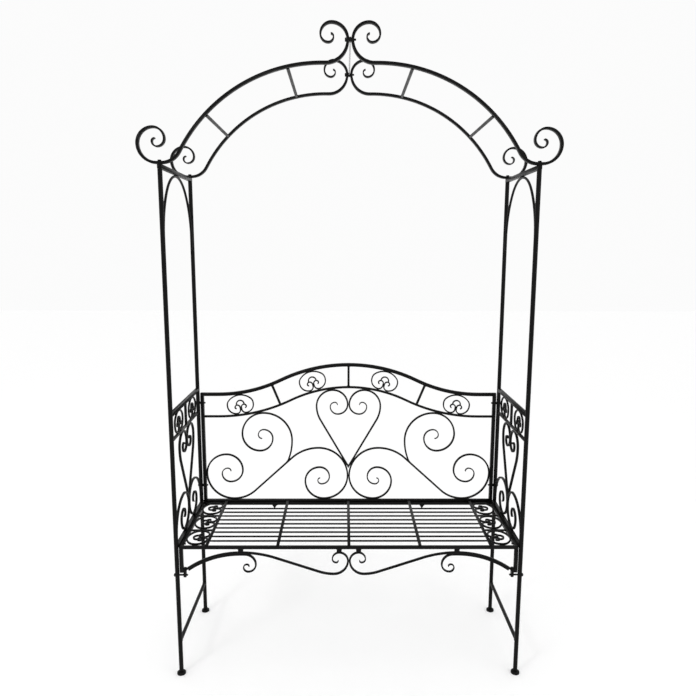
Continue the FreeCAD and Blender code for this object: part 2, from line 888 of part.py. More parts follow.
def apron_curl():
    """Left short bar: it lies under the long bar, then drops into a small spiral."""
    scale, level, end = apron_frame()
    x, y = apron_hump()
    outer = scale * apron_bends[0] - apron_thickness
    inner = scale * apron_bends[1] - apron_thickness
    start = (x, y - apron_thickness)
    reach = math.degrees(math.asin((x + end - curl_start) / outer))
    under = trace(start, 180.0, [(outer, reach)])
    moves = [(inner, -curl_lead), (scale * curl_radii[0], curl_lead - 90.0)]
    moves += quarters([scale * curl for curl in curl_radii[1:]], -1)
    return turned_back(under) + trace(start, 0.0, moves)


def apron_bar(spans):
    """Apron bar whose outer end is trimmed where it meets the lug."""
    scale, level, end = apron_frame()
    taper = thinned(apron_thickness, scroll_tip, apron_taper)
    bar = flat_bar(spans, taper, apron_width, front_plane(-half_depth))
    low = vector(-end - post_diameter, -half_depth - apron_width, 0)
    return bar.cut(block(low, vector(-end, -half_depth + apron_width, seat_bottom)))


def drop_bar_foot():
    """Height of the drop bars' lower ends."""
    scale, level, end = apron_frame()
    fall = scale * apron_bends[0] * (1 - math.cos(math.radians(apron_hump_angle)))
    return level - fall - drop_bar_tail


def drop_bar():
    """Left bar that hangs from the corner of the seat frame."""
    low = vector(-seat_outer, -half_depth - seat_rail_size / 2, drop_bar_foot())
    high = vector(-seat_outer + drop_bar_width, -half_depth + seat_rail_size / 2, seat_bottom)
    return block(low, high)


def apron_bolt_height():
    return drop_bar_foot() - apron_bolt_drop


def apron_lug():
    """Left lug on the drop bar: the apron is welded to it and the leg bolt goes through."""
    x = -seat_outer + drop_bar_width
    half = apron_lug_width / 2
    axis_height = drop_bar_foot() - apron_lug_end + half
    low = vector(x, -half_depth - half, axis_height)
    high = vector(x + apron_lug_thickness, -half_depth + half, axis_height + apron_lug_height - half)
    across = vector(apron_lug_thickness, 0, 0)
    foot_start = vector(x, -half_depth, axis_height)
    rounded = rod(foot_start, foot_start + across, apron_lug_width)
    hole_start = vector(x, -half_depth, apron_bolt_height())
    hole = rod(hole_start, hole_start + across, bolt_diameter + 2 * bolt_clearance)
    return block(low, high).fuse(rounded).removeSplitter().cut(hole)


def apron_studs():
    """Short studs between the seat's front rail and the apron's level points."""
    scale, level, end = apron_frame()
    inner = -apron_thickness / 2 - scale * apron_radii[1]
    studs = []
    for x in (apron_hump()[0], inner):
        low = vector(x - apron_stud / 2, -half_depth - apron_width / 2, seat_bottom - apron_drop)
        studs.append(block(low, vector(x + apron_stud / 2, -half_depth + apron_width / 2, seat_bottom)))
    return studs + [mirrored(stud) for stud in studs]


# ---- arch ----

def arch_line():
    """Left arch bar: corner scroll, climb, shoulder and crown scroll."""
    half = arch_thickness / 2
    start = (-half_spacing + arch_seat_end - arch_seat, crossbar_top + half)
    finish = -crown_gap / 2 - half
    climb = math.sin(math.radians(arch_climb))
    crown = math.sin(math.radians(arch_crown_slope))
    span = finish - start[0] - arch_seat
    span -= arch_foot_radius * climb + arch_throat_radius * (1 - crown)
    shoulder_radius = span / (climb - crown)
    corner = trace(start, 180.0, quarters(corner_radii, -1))
    moves = [
        (arch_seat,),
        (arch_foot_radius, arch_climb),
        (shoulder_radius, arch_crown_slope - arch_climb),
        (arch_throat_radius, 90.0 - arch_crown_slope),
    ]
    moves += quarters(crown_radii, 1)
    return turned_back(corner), trace(start, 0.0, moves)


def arch_bolt_hole(side_y):
    base = vector(-half_spacing, side_y, crossbar_top - arch_thickness)
    return Part.makeCylinder(bolt_radius + bolt_clearance, 3 * arch_thickness, base)


crown_start = 3             # the span of an arch bar that ends at the crown joint


def joint_height():
    """Height of the bolts that join the two halves at the crown."""
    corner, climb = arch_line()
    return along(climb[crown_start], climb[crown_start][3])[1]


def joint_hole(side_y):
    reach = crown_gap / 2 + arch_thickness
    start = vector(-reach - 1.0, side_y, joint_height())
    return rod(start, vector(0, side_y, joint_height()), bolt_diameter + 2 * bolt_clearance)


def arch_bar(side_y):
    """Left arch bar in front or behind."""
    corner, climb = arch_line()
    taper = thinned(arch_thickness, arch_tip, arch_taper, True)
    bar = flat_bar(corner + climb, taper, arch_width, front_plane(side_y))
    return bar.cut(group([arch_bolt_hole(side_y), joint_hole(side_y)]))


def arch_rungs():
    """Round rungs between the front and rear arch bars."""
    corner, climb = arch_line()
    inner = half_depth - arch_width / 2
    rungs = []
    for share in rung_shares:
        target = -half_spacing * share
        for span in climb:
            if along(span, span[3])[0] >= target:
                break
        distance = solved(lambda d: along(span, d)[0] - target, 0.0, span[3])
        x, z, heading = along(span, distance)
        rungs.append(rod(vector(x, -inner, z), vector(x, inner, z), rung_diameter))
    return rungs + [mirrored(rung) for rung in rungs]


def tie_rod():
    """Plain rod between the front and rear crown joints."""
    reach = half_depth - spacer_size / 2
    height = joint_height()
    return rod(vector(0, -reach, height), vector(0, reach, height), tie_diameter)


# ---- fasteners ----

def crown_bolts():
    """Bolt, nut and square spacer at the front and rear crown joints."""
    height = joint_height()
    inner = crown_gap / 2
    hollow = (nut_size / math.sqrt(3)) ** 2 / (2 * crown_radii[0] - arch_thickness)
    outer = inner + arch_thickness + hollow
    solids = []
    for side_y in (-half_depth, half_depth):
        half = spacer_size / 2
        spacer = block(vector(-inner, side_y - half, height - half), vector(inner, side_y + half, height + half))
        start = vector(-outer, side_y, height)
        shank = rod(start, vector(outer + nut_height, side_y, height), bolt_diameter)
        head = nut(start, vector(-1, 0, 0), head_height)
        nut_solid = nut(vector(outer, side_y, height), vector(1, 0, 0), nut_height)
        solids += [spacer.cut(shank), shank.fuse(head).removeSplitter(), nut_solid.cut(shank)]
    return solids


def arch_bolts():
    """Bolts down through the arch bars and crossbars into the posts' inserts."""
    top = crossbar_top + arch_thickness
    solids = []
    for side_x in (-1, 1):
        for side_y in (-1, 1):
            centre = vector(side_x * half_spacing, side_y * half_depth, top)
            shank = rod(centre, centre - vector(0, 0, top - post_height + insert_length), bolt_diameter)
            solids.append(shank.fuse(nut(centre, vector(0, 0, 1), head_height)).removeSplitter())
    return solids


def cross_bolt(outer, inner, y, z):
    """Left bolt along X: domed head outside, nut inside."""
    start = vector(-outer, y, z)
    end = vector(-inner + nut_height, y, z)
    shank = rod(start, end, bolt_diameter)
    head = button_head(start, vector(-1, 0, 0))
    inside = nut(vector(-inner, y, z), vector(1, 0, 0), nut_height)
    return [shank.fuse(head).removeSplitter(), inside.cut(shank)]


def panel_bolts():
    """Bolts that hold the back panel to the rear posts, with a washer in each gap."""
    left = []
    for height in panel_bolt_heights:
        left += cross_bolt(half_spacing + post_radius, upright_inner, half_depth, height)
        start = vector(-post_inner, half_depth, height)
        washer = rod(start, start + vector(panel_gap, 0, 0), nut_size)
        left.append(washer.cut(rod(start, start + vector(panel_gap, 0, 0), bolt_diameter)))
    return left + [mirrored(part) for part in left]


def seat_bolts():
    """Bolts that hold the seat frame to the side bearers."""
    height = seat_height - seat_rail_size / 2
    left = []
    for y in seat_bolt_places():
        left += cross_bolt(seat_outer + bearer_width, seat_inner, y, height)
    return left + [mirrored(part) for part in left]


def apron_bolts():
    """Bolts from the front legs through the apron's lugs."""
    inner = seat_outer - drop_bar_width - apron_lug_thickness
    left = cross_bolt(half_spacing + post_radius, inner, -half_depth, apron_bolt_height())
    return left + [mirrored(part) for part in left]


def write_side_frames():
    for name, side_y in (("front", -half_depth), ("rear", half_depth)):
        both_sides(name + "_post", post(side_y))
    write("feet", group([foot(x, y) for x in (-1, 1) for y in (-1, 1)]))
    write("post_inserts", group([insert(x, y) for x in (-1, 1) for y in (-1, 1)]))
    both_sides("top_crossbar", crossbar())
    both_sides("hoop", hoop())
    both_sides("arm_rail", side_bar(arm_height, arm_size))
    lower_rail = side_bar(arm_height - rail_gap, lower_rail_size)
    write("arm_lower_rails", group([lower_rail, mirrored(lower_rail)]))
    divider = arm_divider()
    write("arm_dividers", group([divider, mirrored(divider)]))
    rings = arm_rings()
    write("arm_rings", group(rings + [mirrored(part) for part in rings]))
    hearts = side_pair(arm_heart())
    write("arm_hearts", group(hearts.Solids + mirrored(hearts).Solids))
    both_sides("arm_spirals", side_pair(arm_scroll()))
    both_sides("seat_bearer", seat_bearer())
    both_sides("leg_stretcher", leg_stretcher())


def write_back_panel():
    write("back_top_rail", top_rail())
    write("back_second_rail", second_rail())
    write("back_bottom_rail", bottom_rail())
    both_sides("back_upright", upright())
    write("back_dividers", group(back_dividers()))
    write("back_rings", group(back_rings()))
    s_bar = scroll_bar(s_scroll()[0], front_plane(half_depth), both=True)
    both_sides("back_s_scroll", s_bar)
    both_sides("back_branch_scroll", branch_bar(s_bar))
    both_sides("back_heart_half", scroll_bar(back_heart(), front_plane(half_depth)))


def write_seat():
    write("seat_front_rail", seat_rail(seat_front))
    write("seat_rear_rail", seat_rail(seat_back - seat_rail_size))
    both_sides("seat_end_rail", seat_end_rail())
    write("seat_bars", group(seat_bars()))
    write("seat_slats", group(slats()))
    write("seat_end_bars", group(end_bars()))
    write("seat_rings", group(seat_rings()))
    write("seat_lugs", group(seat_lugs()))


def write_apron():
    both_sides("apron_scroll", apron_bar(apron_scroll()))
    curl = apron_bar(apron_curl())
    write("apron_curls", group([curl, mirrored(curl)]))
    write("apron_drop_bars", group([drop_bar(), mirrored(drop_bar())]))
    write("apron_lugs", group([apron_lug(), mirrored(apron_lug())]))
    write("apron_studs", group(apron_studs()))


def write_arch():
    for name, side_y in (("front", -half_depth), ("rear", half_depth)):
        both_sides(name + "_arch_bar", arch_bar(side_y))
    write("arch_rungs", group(arch_rungs()))
    write("crown_tie_rod", tie_rod())


def write_fasteners():
    write("crown_bolts", group(crown_bolts()))
    write("arch_bolts", group(arch_bolts()))
    write("panel_bolts", group(panel_bolts()))
    write("seat_frame_bolts", group(seat_bolts() + apron_bolts()))


os.makedirs("parts", exist_ok=True)
write_side_frames()
write_back_panel()
write_seat()
write_apron()
write_arch()
write_fasteners()
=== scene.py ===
import math

import bmesh
import bpy
from mathutils import Matrix, Vector
from mathutils.bvhtree import BVHTree


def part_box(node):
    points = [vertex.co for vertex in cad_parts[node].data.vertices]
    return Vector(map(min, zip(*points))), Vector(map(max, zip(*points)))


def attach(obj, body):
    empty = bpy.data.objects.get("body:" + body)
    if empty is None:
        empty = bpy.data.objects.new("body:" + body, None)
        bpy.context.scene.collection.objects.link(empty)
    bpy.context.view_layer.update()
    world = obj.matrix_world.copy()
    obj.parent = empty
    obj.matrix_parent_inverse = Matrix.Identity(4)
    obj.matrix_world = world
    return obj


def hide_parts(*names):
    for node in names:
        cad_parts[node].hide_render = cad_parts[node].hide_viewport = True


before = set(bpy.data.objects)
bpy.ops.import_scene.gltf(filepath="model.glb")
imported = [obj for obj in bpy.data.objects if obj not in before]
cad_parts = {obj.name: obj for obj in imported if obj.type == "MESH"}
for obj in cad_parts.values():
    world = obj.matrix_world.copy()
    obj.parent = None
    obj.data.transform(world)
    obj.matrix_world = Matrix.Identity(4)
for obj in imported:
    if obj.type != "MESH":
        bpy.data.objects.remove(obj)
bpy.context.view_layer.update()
print("frame loaded:", len(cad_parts), "nodes")

mm = 0.001
left, right = Vector((-1, 0, 0)), Vector((1, 0, 0))
ahead, upward = Vector((0, -1, 0)), Vector((0, 0, 1))
sides = ("left", "right")


# Helpers for objects and meshes.

def newObject(name, data):
    item = bpy.data.objects.new(name, data)
    bpy.context.scene.collection.objects.link(item)
    return item


def dataOf(mesh, name):
    data = bpy.data.meshes.new(name)
    mesh.to_mesh(data)
    mesh.free()
    return data


def finalMesh(item):
    bpy.context.view_layer.update()
    graph = bpy.context.evaluated_depsgraph_get()
    result = bpy.data.meshes.new_from_object(item.evaluated_get(graph))
    bpy.data.objects.remove(item)
    return result


def finishMesh(data, finish, sharpAngle):
    data.materials.clear()
    data.materials.append(finish)
    for face in data.polygons:
        face.use_smooth = True
    data.set_sharp_from_angle(angle=sharpAngle)


# Node helpers, for materials and for geometry trees.

def addNode(tree, kind, inputs=None, **settings):
    node = tree.nodes.new(kind)
    for key, value in settings.items():
        setattr(node, key, value)
    for key, value in (inputs or {}).items():
        if isinstance(value, bpy.types.NodeSocket):
            tree.links.new(value, node.inputs[key])
        else:
            node.inputs[key].default_value = value
    return node


def noiseOf(tree, coords, scale, detail=3.0, roughness=0.5):
    values = {"Vector": coords, "Scale": scale, "Detail": detail, "Roughness": roughness}
    return addNode(tree, "ShaderNodeTexNoise", values).outputs["Fac"]


def rangeOf(tree, value, fromSpan, toSpan=(0.0, 1.0)):
    values = {"Value": value, "From Min": fromSpan[0], "From Max": fromSpan[1],
              "To Min": toSpan[0], "To Max": toSpan[1]}
    return addNode(tree, "ShaderNodeMapRange", values).outputs["Result"]


def mathOf(tree, operation, first, second):
    return addNode(tree, "ShaderNodeMath", {0: first, 1: second}, operation=operation).outputs[0]


def mixOf(tree, share, first, second):
    colours = {0: share, 6: first, 7: second}    # the colour sockets of the node
    return addNode(tree, "ShaderNodeMix", colours, data_type="RGBA").outputs[2]


def bumpOf(tree, strength, distance, height, **normal):
    values = {"Strength": strength, "Distance": distance, "Height": height}
    values.update({"Normal": value for value in normal.values()})
    return addNode(tree, "ShaderNodeBump", values).outputs[0]


def grey(value, warmth=0.0):
    return (value * (1 + warmth), value, value * (1 - warmth), 1.0)


# Finishes.

noiseSpan = (0.3, 0.7)    # where most of a noise lies

paintLook = dict(
    dark=0.0012, light=0.0032, driftScale=9.0,    # paint, from shade to shade
    gloss=(0.30, 0.44), glossScale=30.0,          # roughness, lowest and highest
    specular=0.10,
    grainScale=950.0, grainDepth=0.00012, grainStrength=0.35,    # texture of baked powder
    swellScale=130.0, swellDepth=0.0004, swellStrength=0.25,     # its slower waves
    wear=0.20, wearTone=0.02, wearWidth=0.0011, wearScale=260.0,
    wearAgree=(0.995, 0.86),    # rounded normal against the face's own, unworn to worn
    wearPatch=(0.56, 0.70),
    dust=0.02, dustTone=0.12, dustScale=38.0, dustPatch=(0.35, 0.75),
    dustTilt=(0.55, 1.0),       # upward part of the normal, from clean to dusty
    dustDulling=0.5,
)
fastenerLook = dict(
    paintLook, dark=0.003, light=0.007, gloss=(0.30, 0.45),
    wear=0.6, wearTone=0.06, grainScale=1500.0)
footLook = dict(paintLook, dark=0.002, light=0.005, gloss=(0.45, 0.62), wear=0.2, dust=0.05)
beadLook = dict(paintLook, gloss=(0.34, 0.50), grainDepth=0.0002)
metalLook = dict(
    metallic=0.9, grainStrength=0.4, driftScale=60.0,
    cloudScale=340.0, cloudTone=(0.4, 1.0), cloudSpan=(0.0, 0.8), toneSpan=(0.15, 0.5))
zincLook = dict(
    metalLook, dark=0.42, light=0.62, gloss=(0.30, 0.50),
    grainScale=1100.0, grainDepth=0.00008)
steelLook = dict(
    metalLook, dark=0.30, light=0.46, gloss=(0.28, 0.46),
    grainScale=1700.0, grainDepth=0.00006)


def startMaterial(name):
    material = bpy.data.materials.new(name)
    material.use_nodes = True
    tree = material.node_tree
    shader = tree.nodes["Principled BSDF"]
    coords = addNode(tree, "ShaderNodeTexCoord").outputs["Object"]
    return material, tree, shader, coords


def paintedMetal(name, look):
    material, tree, shader, coords = startMaterial(name)
    drift = noiseOf(tree, coords, look["driftScale"], 4.0)
    grain = noiseOf(tree, coords, look["grainScale"], 2.0, 0.6)
    speck = noiseOf(tree, coords, look["wearScale"], 5.0, 0.7)
    shade = rangeOf(tree, drift, noiseSpan)
    paint = mixOf(tree, shade, grey(look["dark"]), grey(look["light"], 0.03))

    # worn edges: where the rounded normal leaves the face's own
    rounded = addNode(tree, "ShaderNodeBevel", {"Radius": look["wearWidth"]}, samples=4).outputs[0]
    faceNormal = addNode(tree, "ShaderNodeNewGeometry").outputs["Normal"]
    normals = {0: rounded, 1: faceNormal}
    agree = addNode(tree, "ShaderNodeVectorMath", normals, operation="DOT_PRODUCT")
    edge = rangeOf(tree, agree.outputs["Value"], look["wearAgree"])
    broken = rangeOf(tree, speck, look["wearPatch"], (0.0, look["wear"]))
    paint = mixOf(tree, mathOf(tree, "MULTIPLY", edge, broken), paint, grey(look["wearTone"], 0.04))

    # a little dust where the surface faces up
    height = addNode(tree, "ShaderNodeSeparateXYZ", {0: faceNormal}).outputs["Z"]
    lying = rangeOf(tree, height, look["dustTilt"], (0.0, look["dust"]))
    patches = noiseOf(tree, coords, look["dustScale"], 5.0, 0.65)
    settled = mathOf(tree, "MULTIPLY", lying, rangeOf(tree, patches, look["dustPatch"]))
    paint = mixOf(tree, settled, paint, grey(look["dustTone"], 0.10))
    tree.links.new(paint, shader.inputs["Base Color"])

    gloss = rangeOf(tree, noiseOf(tree, coords, look["glossScale"], 4.0), noiseSpan, look["gloss"])
    dulling = mathOf(tree, "MULTIPLY", settled, look["dustDulling"])
    tree.links.new(mathOf(tree, "ADD", gloss, dulling), shader.inputs["Roughness"])
    swell = noiseOf(tree, coords, look["swellScale"], 2.0)
    fine = bumpOf(tree, look["grainStrength"], look["grainDepth"], grain, normal=rounded)
    bump = bumpOf(tree, look["swellStrength"], look["swellDepth"], swell, normal=fine)
    tree.links.new(bump, shader.inputs["Normal"])
    shader.inputs["Specular IOR Level"].default_value = look["specular"]
    return material


def bareMetal(name, look):
    material, tree, shader, coords = startMaterial(name)
    cells = {"Vector": coords, "Scale": look["cloudScale"]}
    cloud = addNode(tree, "ShaderNodeTexVoronoi", cells).outputs["Distance"]
    drift = noiseOf(tree, coords, look["driftScale"], 4.0)
    clouded = rangeOf(tree, cloud, look["cloudSpan"], look["cloudTone"])
    tone = rangeOf(tree, mathOf(tree, "MULTIPLY", clouded, drift), look["toneSpan"])
    colour = mixOf(tree, tone, grey(look["dark"]), grey(look["light"]))
    tree.links.new(colour, shader.inputs["Base Color"])
    tree.links.new(rangeOf(tree, drift, noiseSpan, look["gloss"]), shader.inputs["Roughness"])
    grain = noiseOf(tree, coords, look["grainScale"], 3.0)
    bump = bumpOf(tree, look["grainStrength"], look["grainDepth"], grain)
    tree.links.new(bump, shader.inputs["Normal"])
    shader.inputs["Metallic"].default_value = look["metallic"]
    return material


finishes = {
    "frame_black": paintedMetal("framePowderCoat", paintLook),
    "fastener_black": paintedMetal("fastenerBlack", fastenerLook),
    "foot_black": paintedMetal("footBlack", footLook),
    "zinc_rod": bareMetal("zincRod", zincLook),
    "steel_insert": bareMetal("steelInsert", steelLook),
}
beadPaint = paintedMetal("weldBeadPaint", beadLook)

nodeSlots = {
    "arch_bolts": "fastener_black", "panel_bolts": "fastener_black",
    "seat_frame_bolts": "fastener_black", "crown_bolts": "fastener_black",
    "feet": "foot_black", "crown_tie_rod": "zinc_rod", "post_inserts": "steel_insert",
}


def slotOf(nodeName):
    return nodeSlots.get(nodeName, "frame_black")


for nodeName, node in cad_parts.items():
    node.data.materials.clear()
    node.data.materials.append(finishes[slotOf(nodeName)])
print("finishes set")


# Bars with rounded edges, made from the frame's meshes.

def finishPiece(name, mesh, replaced=()):
    piece = newObject(name, mesh)
    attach(piece, "root")
    if replaced:
        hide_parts(*replaced)
    return piece


softEdges = dict(
    flatAngle=math.radians(1.0),    # faces this level with each other become one
    edgeAngle=math.radians(42.0),   # sharper edges are rounded
    segments=2,
    together=0.02,                  # points this close are one, in millimetres
)
edgeRadii = {    # millimetres, for each family of bars
    "scroll": 1.0, "heart": 1.0, "spirals": 1.0, "curls": 1.0, "rings": 1.7, "arch_bar": 1.3,
    "rail": 1.3, "upright": 1.3, "bearer": 1.3, "crossbar": 1.5, "divider": 0.9, "bars": 1.0,
    "studs": 0.8, "lugs": 0.8,
}
madeByTree = ("seat_slats", "left_hoop", "right_hoop", "arch_rungs",
              "arch_bolts", "panel_bolts", "seat_frame_bolts", "crown_bolts")


def mergedMesh(nodeName):
    mesh = bmesh.new()
    mesh.from_mesh(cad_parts[nodeName].data)
    # front and rear halves that touch in the middle stay apart
    front = {vert for face in mesh.faces if face.calc_center_median().y < 0 for vert in face.verts}
    rear = [vert for vert in mesh.verts if vert not in front]
    apart = "arm_hearts" in nodeName or "arm_spirals" in nodeName
    for verts in (list(front), rear) if apart else (list(mesh.verts),):
        bmesh.ops.remove_doubles(mesh, verts=verts, dist=softEdges["together"] * mm)
    return mesh


def roundEdges(nodeName, radius):
    mesh = mergedMesh(nodeName)
    bmesh.ops.dissolve_limit(
        mesh, angle_limit=softEdges["flatAngle"], verts=mesh.verts, edges=mesh.edges)
    draft = newObject(nodeName + "Draft", dataOf(mesh, nodeName + "Draft"))
    bevel = draft.modifiers.new("roundEdges", "BEVEL")
    bevel.width = radius * mm
    bevel.segments = softEdges["segments"]
    bevel.limit_method = "ANGLE"
    bevel.angle_limit = softEdges["edgeAngle"]
    bevel.harden_normals = True
    return finalMesh(draft)


def familyRadius(nodeName):
    for family, radius in edgeRadii.items():
        if family in nodeName:
            return radius
    return None


def camelName(nodeName):
    words = nodeName.split("_")
    return words[0] + "".join(word.capitalize() for word in words[1:])


for nodeName in sorted(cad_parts):
    radius = familyRadius(nodeName)
    if radius is None or nodeName in madeByTree:
        continue
    mesh = roundEdges(nodeName, radius)
    finishMesh(mesh, finishes[slotOf(nodeName)], softEdges["edgeAngle"])
    finishPiece(camelName(nodeName), mesh, (nodeName,))
print("bars with rounded edges made")


# Geometry trees.

def newTree(name, sockets):
    tree = bpy.data.node_groups.new(name, "GeometryNodeTree")
    tree.interface.new_socket("Geometry", in_out="INPUT", socket_type="NodeSocketGeometry")
    for label, kind in sockets.items():
        tree.interface.new_socket(label, in_out="INPUT", socket_type="NodeSocket" + kind)
    tree.interface.new_socket("Geometry", in_out="OUTPUT", socket_type="NodeSocketGeometry")
    start = tree.nodes.new("NodeGroupInput").outputs
    return tree, start, tree.nodes.new("NodeGroupOutput")


def geometryOf(tree, kind, inputs, **settings):
    return addNode(tree, "GeometryNode" + kind, inputs, **settings).outputs[0]


def closeTree(tree, start, end, geometry):
    whole = geometryOf(tree, "RealizeInstances", {"Geometry": geometry})
    smooth = geometryOf(tree, "SetShadeSmooth", {"Geometry": whole})
    painted = geometryOf(tree, "SetMaterial", {"Geometry": smooth, "Material": start["Finish"]})
    tree.links.new(painted, end.inputs[0])


def bakedMesh(tree, base, values):
    holder = newObject(tree.name + "Holder", base)
    modifier = holder.modifiers.new(tree.name, "NODES")
    modifier.node_group = tree
    for item in tree.interface.items_tree:
        if item.item_type == "SOCKET" and item.in_out == "INPUT" and item.name in values:
            modifier[item.identifier] = values[item.name]
    return finalMesh(holder)


def roundBar(tree, start, line, length, endShare):
    along = addNode(tree, "GeometryNodeSplineParameter").outputs["Length"]
    nearest = mathOf(tree, "MINIMUM", along, mathOf(tree, "SUBTRACT", length, along))
    swell = mathOf(tree, "MINIMUM", mathOf(tree, "DIVIDE", nearest, start["End Round"]), 1.0)
    size = mathOf(tree, "ADD", mathOf(tree, "MULTIPLY", swell, 1 - endShare), endShare)
    circle = geometryOf(tree, "CurvePrimitiveCircle", {
        "Resolution": start["Sides"], "Radius": start["Radius"]})
    return geometryOf(tree, "CurveToMesh", {
        "Curve": line, "Profile Curve": circle, "Scale": size, "Fill Caps": True})


# Seat slats: a row of round rods, slightly domed at the ends.

slatRow = dict(count=9, diameter=6.0, sides=20, pieces=60, endRound=0.9, endShare=0.85)


def slatTree():
    tree, start, end = newTree("slatRow", {
        "First Place": "Vector", "Step": "Vector", "Length": "Float", "Radius": "Float",
        "Count": "Int", "Sides": "Int", "End Round": "Float", "Finish": "Material"})
    reach = addNode(tree, "ShaderNodeCombineXYZ", {"X": start["Length"]}).outputs[0]
    line = geometryOf(tree, "CurvePrimitiveLine", {"End": reach})
    line = geometryOf(tree, "ResampleCurve", {"Curve": line, "Count": slatRow["pieces"]})
    bar = roundBar(tree, start, line, start["Length"], slatRow["endShare"])
    row = geometryOf(tree, "MeshLine", {
        "Count": start["Count"], "Start Location": start["First Place"], "Offset": start["Step"]})
    rods = geometryOf(tree, "InstanceOnPoints", {"Points": row, "Instance": bar})
    closeTree(tree, start, end, rods)
    return tree


slatLow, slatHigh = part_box("seat_slats")
slatRadius = slatRow["diameter"] * mm / 2
slatStep = (slatHigh.y - slatLow.y - 2 * slatRadius) / (slatRow["count"] - 1)
slatMesh = bakedMesh(slatTree(), bpy.data.meshes.new("slatBase"), {
    "First Place": Vector((slatLow.x, slatLow.y + slatRadius, slatLow.z + slatRadius)),
    "Step": Vector((0, slatStep, 0)), "Length": slatHigh.x - slatLow.x, "Radius": slatRadius,
    "Count": slatRow["count"], "Sides": slatRow["sides"], "End Round": slatRow["endRound"] * mm,
    "Finish": finishes["frame_black"]})
finishPiece("seatSlats", slatMesh, ("seat_slats",))
print("seat slats made:", len(slatMesh.polygons), "faces")

# Hoops: one round rod each, swept along a crown, two shoulders and two legs.

hoopBar = dict(
    diameter=8.0, crownRadius=150.0, crownAngle=45.0, arcSteps=16,
    sides=20, pieces=240, endRound=1.4, endShare=0.75)


def barTree():
    tree, start, end = newTree("sweptBar", {
        "Radius": "Float", "Sides": "Int", "Pieces": "Int", "End Round": "Float",
        "Finish": "Material"})
    line = geometryOf(tree, "MeshToCurve", {"Mesh": start["Geometry"]})
    line = geometryOf(tree, "ResampleCurve", {"Curve": line, "Count": start["Pieces"]})
    length = addNode(tree, "GeometryNodeSplineLength").outputs["Length"]
    closeTree(tree, start, end, roundBar(tree, start, line, length, hoopBar["endShare"]))
    return tree


def hoopPath(nodeName):
    low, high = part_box(nodeName)
    radius = hoopBar["diameter"] * mm / 2
    angle = math.radians(hoopBar["crownAngle"])
    crown = hoopBar["crownRadius"] * mm
    reach = (high.y - low.y) / 2 - radius
    shoulder = (reach - crown * math.sin(angle)) / (1 - math.sin(angle))
    top = high.z - radius
    steps = hoopBar["arcSteps"]
    half = []
    for step in range(steps):
        turn = angle * step / steps
        half.append((crown * math.sin(turn), top - crown * (1 - math.cos(turn))))
    centreY = (crown - shoulder) * math.sin(angle)
    centreZ = top - crown + (crown - shoulder) * math.cos(angle)
    for step in range(steps + 1):
        turn = angle + (math.pi / 2 - angle) * step / steps
        half.append((centreY + shoulder * math.sin(turn), centreZ + shoulder * math.cos(turn)))
    half.append((reach, low.z))
    line = [(-y, z) for y, z in reversed(half[1:])] + half
    middle = (low.x + high.x) / 2
    links = [(index, index + 1) for index in range(len(line) - 1)]
    mesh = bpy.data.meshes.new(nodeName + "Path")
    mesh.from_pydata([(middle, y, z) for y, z in line], links, [])
    return mesh


sweptBar = barTree()
for side in sides:
    mesh = bakedMesh(sweptBar, hoopPath(side + "_hoop"), {
        "Radius": hoopBar["diameter"] * mm / 2, "Sides": hoopBar["sides"],
        "Pieces": hoopBar["pieces"], "End Round": hoopBar["endRound"] * mm,
        "Finish": finishes["frame_black"]})
    finishPiece(side + "Hoop", mesh, (side + "_hoop",))
print("hoops made")


# Rungs, fasteners and weld beads stand on points that carry an axis and a length.

def pointMesh(name, places, axes, spans, sizes):
    mesh = bpy.data.meshes.new(name)
    mesh.from_pydata([tuple(place) for place in places], [], [])
    for label, kind in (("axis", "FLOAT_VECTOR"), ("span", "FLOAT"), ("size", "FLOAT")):
        mesh.attributes.new(label, kind, "POINT")
    flatAxes = [value for axis in axes for value in axis]
    mesh.attributes["axis"].data.foreach_set("vector", flatAxes)
    mesh.attributes["span"].data.foreach_set("value", spans)
    mesh.attributes["size"].data.foreach_set("value", sizes)
    return mesh


def attributeOf(tree, name, kind):
    return geometryOf(tree, "InputNamedAttribute", {"Name": name}, data_type=kind)


def rowTree():
    tree, start, end = newTree("partRow", {"Part": "Object", "Finish": "Material"})
    info = addNode(tree, "GeometryNodeObjectInfo", {"Object": start["Part"]})
    way = {"Vector": attributeOf(tree, "axis", "FLOAT_VECTOR")}
    turn = addNode(tree, "FunctionNodeAlignRotationToVector", way, axis="Z").outputs[0]
    size = attributeOf(tree, "size", "FLOAT")
    span = attributeOf(tree, "span", "FLOAT")
    scale = addNode(tree, "ShaderNodeCombineXYZ", {"X": size, "Y": size, "Z": span}).outputs[0]
    row = geometryOf(tree, "InstanceOnPoints", {
        "Points": start["Geometry"], "Instance": info.outputs["Geometry"],
        "Rotation": turn, "Scale": scale})
    closeTree(tree, start, end, row)
    return tree


partRow = rowTree()
loopCount = 24
unitLength = 1000.0    # millimetres: a part this long is scaled by its span
cornerAngles = {"hex": math.pi / 3, "square": math.pi / 2}
sharpAngle = math.radians(38.0)


def loopPoint(kind, size, turn):
    if kind in cornerAngles:
        corner = cornerAngles[kind]
        size = size / math.cos(turn % corner - corner / 2)
    shift = math.pi / 4 if kind == "square" else 0.0
    return size * math.cos(turn + shift), size * math.sin(turn + shift)


